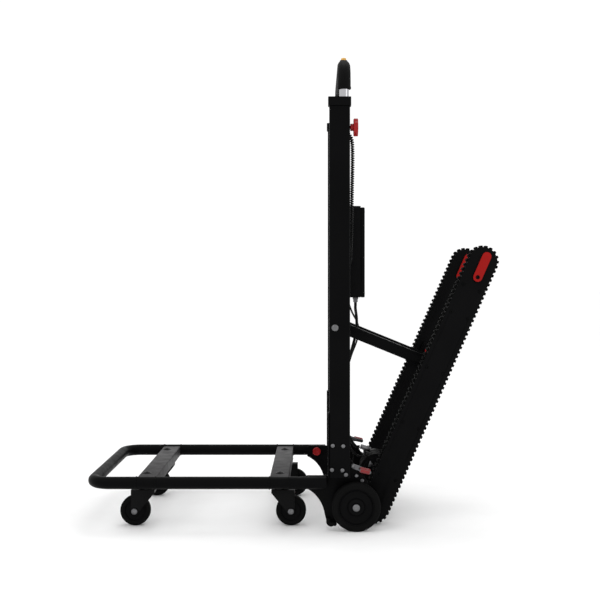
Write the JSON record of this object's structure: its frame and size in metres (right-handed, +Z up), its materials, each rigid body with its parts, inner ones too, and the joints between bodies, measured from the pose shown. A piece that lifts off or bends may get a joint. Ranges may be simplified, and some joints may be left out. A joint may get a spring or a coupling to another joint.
{
  "type": "stair climbing carrier",
  "caption": "Powered tracked stair-climbing carrier with upright posts, telescoping handle, folding load platform on casters and leaning rubber tracks.",
  "frame": {"origin": "centre of the footprint's bounding box, on the floor", "axes": "+Z up, +X towards the tracks at the rear, -X towards the platform's front edge, Y across"},
  "size_m": [1.089, 0.525, 1.244],
  "materials": {
    "black_paint": "black powder coat",
    "grey_paint": "dark grey powder coat",
    "black_alloy": "black coated aluminium",
    "black_plastic": "matt black moulded plastic",
    "caster_steel": "black coated steel",
    "tread_rubber": "black rubber",
    "wheel_rubber": "black wheel rubber",
    "red_plastic": "gloss red plastic",
    "red_paint": "red powder coat",
    "chrome": "bright plated steel",
    "steel": "plain steel",
    "board": "circuit board",
    "battery": "wrapped battery cells",
    "brass": "brass coloured button"
  },
  "bodies": {
    "frame": {"post_near": "black_paint", "post_far": "black_paint", "post_cap_near": "black_plastic", "post_cap_far": "black_plastic", "side_plate_near": "black_paint", "side_plate_far": "black_paint", "wheel_bolt_near": "chrome", "wheel_bolt_far": "chrome", "box_mount": "black_paint", "lower_crossbar": "black_paint", "strut_shaft": "chrome", "control_box": "black_plastic", "control_box_lid": "black_plastic", "battery_pack": "battery", "control_board": "board", "box_gland": "black_plastic", "lead_gland": "black_plastic", "curly_lead": "black_plastic", "motor_cable": "tread_rubber", "sensor_cable": "tread_rubber", "gearbox_housing": "black_alloy", "motor": "black_alloy", "motor_gland": "chrome"},
    "handle": {"handle_tube": "chrome", "handle_grip": "tread_rubber"},
    "drive_button": {"drive_button": "brass"},
    "platform": {"platform_tube": "black_paint", "platform_crossbar_front": "grey_paint", "platform_crossbar_rear": "grey_paint"},
    "tracks": {"track_frame_near": "black_alloy", "track_frame_far": "black_alloy", "track_belt_near": "tread_rubber", "track_belt_far": "tread_rubber", "track_link_near": "red_paint", "track_link_far": "red_paint"},
    "strut": {"strut": "black_paint"},
    "strut_carriage": {"strut_carriage_near": "black_alloy", "strut_carriage_far": "black_alloy"},
    "drive": {"drive_shaft": "steel", "drive_sprocket_near": "black_plastic", "drive_sprocket_far": "black_plastic"},
    "idler_near": {"idler_pulley_near": "black_plastic"},
    "main_wheel_near": {"main_wheel_near": "wheel_rubber"},
    "brake_pedal_near": {"brake_pedal_near": "steel"},
    "release_button_near": {"release_button_near": "red_plastic"},
    "strut_lock_near": {"strut_lock_knob_near": "red_plastic"},
    "caster_front_near": {"caster_fork_front_near": "caster_steel"},
    "caster_roller_front_near": {"caster_wheel_front_near": "wheel_rubber"},
    "caster_rear_near": {"caster_fork_rear_near": "caster_steel"},
    "caster_roller_rear_near": {"caster_wheel_rear_near": "wheel_rubber"},
    "idler_far": {"idler_pulley_far": "black_plastic"},
    "main_wheel_far": {"main_wheel_far": "wheel_rubber"},
    "brake_pedal_far": {"brake_pedal_far": "steel"},
    "release_button_far": {"release_button_far": "red_plastic"},
    "strut_lock_far": {"strut_lock_knob_far": "red_plastic"},
    "caster_front_far": {"caster_fork_front_far": "caster_steel"},
    "caster_roller_front_far": {"caster_wheel_front_far": "wheel_rubber"},
    "caster_rear_far": {"caster_fork_rear_far": "caster_steel"},
    "caster_roller_rear_far": {"caster_wheel_rear_far": "wheel_rubber"},
    "clamp_knob": {"clamp_knob": "red_plastic"}
  },
  "joints": [
    {"name": "handle_slide", "type": "slide", "parent": "frame", "child": "handle", "axis": [0, 0, 1], "range_m": [0, 0.25]},
    {"name": "drive_button_press", "type": "slide", "parent": "handle", "child": "drive_button", "axis": [0, 0, -1], "range_m": [0, 0.003], "stiffness_N_per_m": 500},
    {"name": "platform_fold", "type": "hinge", "parent": "frame", "child": "platform", "pos_m": [0.05829, 0, 0.125], "axis": [0, 1, 0], "range_deg": [0, 90]},
    {"name": "tracks_fold", "type": "hinge", "parent": "frame", "child": "tracks", "pos_m": [0.21229, 0, 0.046], "axis": [0, 1, 0], "range_deg": [-23.85, 0]},
    {"name": "strut_swing", "type": "hinge", "parent": "frame", "child": "strut", "pos_m": [0.10729, 0, 0.529], "axis": [0, 1, 0], "range_deg": [-1, 46.65]},
    {"name": "strut_carriage_slide", "type": "slide", "parent": "tracks", "child": "strut_carriage", "axis": [0.4043, 0, 0.9146], "range_m": [-0.1949, 0.002]},
    {"name": "drive_spin", "type": "hinge", "parent": "frame", "child": "drive", "pos_m": [0.21229, 0, 0.046], "axis": [0, 1, 0], "continuous": true},
    {"name": "idler_spin_near", "type": "hinge", "parent": "tracks", "child": "idler_near", "pos_m": [0.50221, -0.165, 0.70177], "axis": [0, 1, 0], "continuous": true},
    {"name": "main_wheel_spin_near", "type": "hinge", "parent": "frame", "child": "main_wheel_near", "pos_m": [0.16229, -0.241, 0.0635], "axis": [0, 1, 0], "continuous": true},
    {"name": "brake_pedal_press_near", "type": "hinge", "parent": "frame", "child": "brake_pedal_near", "pos_m": [0.15429, -0.227, 0.166], "axis": [0, 1, 0], "range_deg": [0, 25]},
    {"name": "release_press_near", "type": "slide", "parent": "frame", "child": "release_button_near", "axis": [0, -1, 0], "range_m": [0, 0.005], "stiffness_N_per_m": 600},
    {"name": "strut_lock_pull_near", "type": "slide", "parent": "strut_carriage", "child": "strut_lock_near", "axis": [0, 1, 0], "range_m": [0, 0.008], "stiffness_N_per_m": 400},
    {"name": "caster_swivel_front_near", "type": "hinge", "parent": "platform", "child": "caster_front_near", "pos_m": [-0.39271, -0.176, 0.095], "axis": [0, 0, 1], "continuous": true},
    {"name": "caster_roll_front_near", "type": "hinge", "parent": "caster_front_near", "child": "caster_roller_front_near", "pos_m": [-0.42271, -0.176, 0.04], "axis": [0, 1, 0], "continuous": true},
    {"name": "caster_swivel_rear_near", "type": "hinge", "parent": "platform", "child": "caster_rear_near", "pos_m": [-0.03871, -0.176, 0.095], "axis": [0, 0, 1], "continuous": true},
    {"name": "caster_roll_rear_near", "type": "hinge", "parent": "caster_rear_near", "child": "caster_roller_rear_near", "pos_m": [-0.00871, -0.176, 0.04], "axis": [0, 1, 0], "continuous": true},
    {"name": "idler_spin_far", "type": "hinge", "parent": "tracks", "child": "idler_far", "pos_m": [0.50221, 0.165, 0.70177], "axis": [0, 1, 0], "continuous": true},
    {"name": "main_wheel_spin_far", "type": "hinge", "parent": "frame", "child": "main_wheel_far", "pos_m": [0.16229, 0.241, 0.0635], "axis": [0, 1, 0], "continuous": true},
    {"name": "brake_pedal_press_far", "type": "hinge", "parent": "frame", "child": "brake_pedal_far", "pos_m": [0.15429, 0.227, 0.166], "axis": [0, 1, 0], "range_deg": [0, 25]},
    {"name": "release_press_far", "type": "slide", "parent": "frame", "child": "release_button_far", "axis": [0, 1, 0], "range_m": [0, 0.005], "stiffness_N_per_m": 600},
    {"name": "strut_lock_pull_far", "type": "slide", "parent": "strut_carriage", "child": "strut_lock_far", "axis": [0, -1, 0], "range_m": [0, 0.008], "stiffness_N_per_m": 400},
    {"name": "caster_swivel_front_far", "type": "hinge", "parent": "platform", "child": "caster_front_far", "pos_m": [-0.39271, 0.176, 0.095], "axis": [0, 0, 1], "continuous": true},
    {"name": "caster_roll_front_far", "type": "hinge", "parent": "caster_front_far", "child": "caster_roller_front_far", "pos_m": [-0.42271, 0.176, 0.04], "axis": [0, 1, 0], "continuous": true},
    {"name": "caster_swivel_rear_far", "type": "hinge", "parent": "platform", "child": "caster_rear_far", "pos_m": [-0.03871, 0.176, 0.095], "axis": [0, 0, 1], "continuous": true},
    {"name": "caster_roll_rear_far", "type": "hinge", "parent": "caster_rear_far", "child": "caster_roller_rear_far", "pos_m": [-0.00871, 0.176, 0.04], "axis": [0, 1, 0], "continuous": true},
    {"name": "clamp_knob_turn", "type": "hinge", "parent": "frame", "child": "clamp_knob", "pos_m": [0.16129, -0.239, 1.05], "axis": [1, 0, 0], "range_deg": [0, 360]}
  ],
  "couplings": [
    {"joint": "strut_swing", "follows": "tracks_fold", "ratio": -1.9539},
    {"joint": "strut_carriage_slide", "follows": "tracks_fold", "m_per_rad": 0.46701},
    {"joint": "idler_spin_near", "follows": "drive_spin", "ratio": 1},
    {"joint": "idler_spin_far", "follows": "drive_spin", "ratio": 1}
  ]
}
